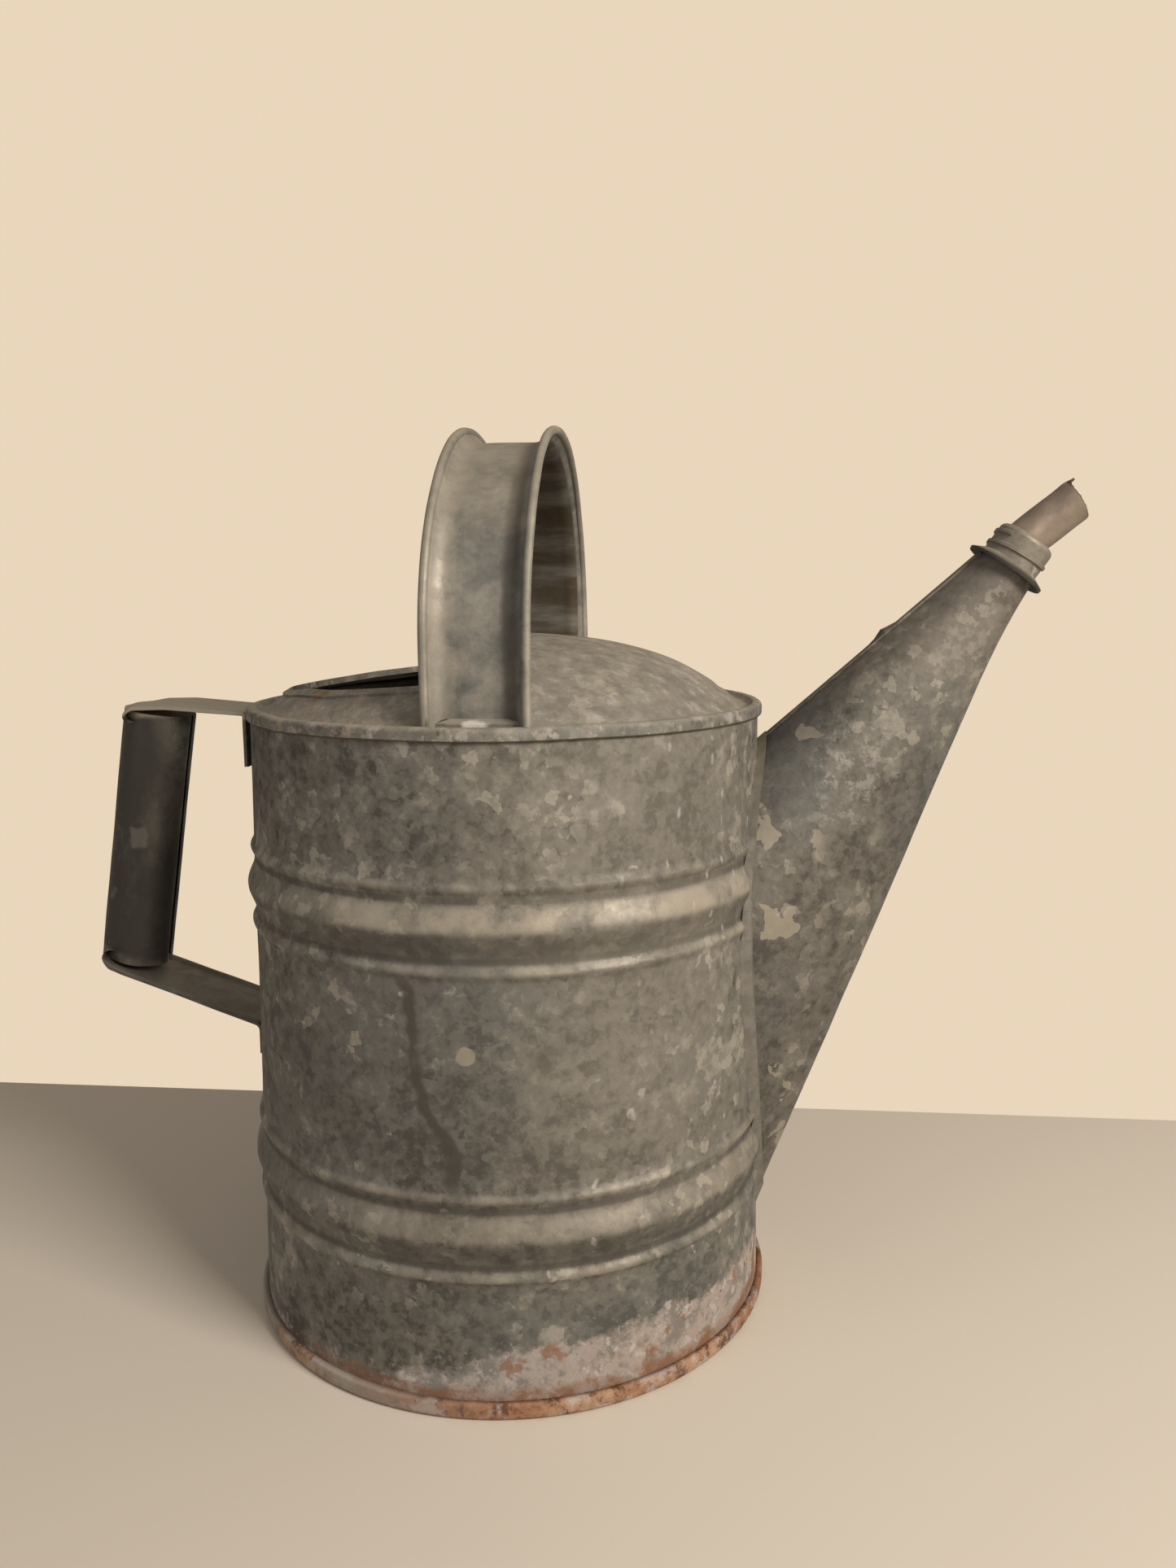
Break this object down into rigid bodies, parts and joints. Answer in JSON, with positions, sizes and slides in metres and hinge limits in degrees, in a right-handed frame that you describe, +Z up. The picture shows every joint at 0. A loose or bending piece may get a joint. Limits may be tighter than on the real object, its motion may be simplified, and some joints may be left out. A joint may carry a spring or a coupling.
{
  "type": "watering can",
  "caption": "Old galvanised sheet-steel watering can with a carrying arch, a curled rear grip, a half-open domed cover, a tapered spout and a screw-on outlet.",
  "frame": {"origin": "on the body's axis, in the plane of the rolled foot that it stands on", "axes": "+X towards the spout, -X towards the rear grip, +Y towards the far leg of the carrying arch, +Z up"},
  "size_m": [0.4276, 0.2276, 0.3749],
  "materials": {
    "galvanised_body": "dull weathered galvanised steel with zinc spangle",
    "rusty_foot": "zinc bloom and rust on the rolled foot",
    "galvanised_cover": "dusty weathered galvanised steel",
    "galvanised_arch": "blue-grey weathered galvanised steel",
    "solder": "dull lead solder",
    "dark_handle": "dark worn galvanised steel",
    "galvanised_spout": "dull weathered galvanised steel",
    "tinned_neck": "tinned steel",
    "washer_rubber": "aged rubber",
    "cap_steel": "worn pressed steel",
    "stub_steel": "worn tinned steel"
  },
  "bodies": {
    "root": {"body_wall": "galvanised_body", "body_lock_seam": "galvanised_body", "bottom_disc": "rusty_foot", "domed_cover": "galvanised_cover", "mouth_hem": "galvanised_cover", "arch_strap": "galvanised_arch", "arch_edge_wire_rear": "galvanised_arch", "arch_edge_wire_front": "galvanised_arch", "arch_solder_near": "solder", "arch_solder_far": "solder", "rear_grip": "dark_handle", "rear_strap_upper": "dark_handle", "rear_strap_lower": "dark_handle", "spout_cone": "galvanised_spout", "spout_lap_seam": "galvanised_spout", "spout_solder": "solder", "spout_neck": "tinned_neck"},
    "seal": {"sealing_washer": "washer_rubber"},
    "nozzle": {"nozzle_cap": "cap_steel", "nozzle_stub": "stub_steel"}
  },
  "joints": [
    {"name": "nozzle_travel", "type": "slide", "parent": "root", "child": "seal", "axis": [0.5693, 0, 0.8221], "range_m": [0, 0.0101]},
    {"name": "nozzle_turn", "type": "hinge", "parent": "seal", "child": "nozzle", "pos_m": [0.2076, 0, 0.3161], "axis": [0.5693, 0, 0.8221], "range_deg": [0, 720]}
  ],
  "couplings": [
    {"joint": "nozzle_travel", "follows": "nozzle_turn", "m_per_rad": 0.00079577}
  ]
}
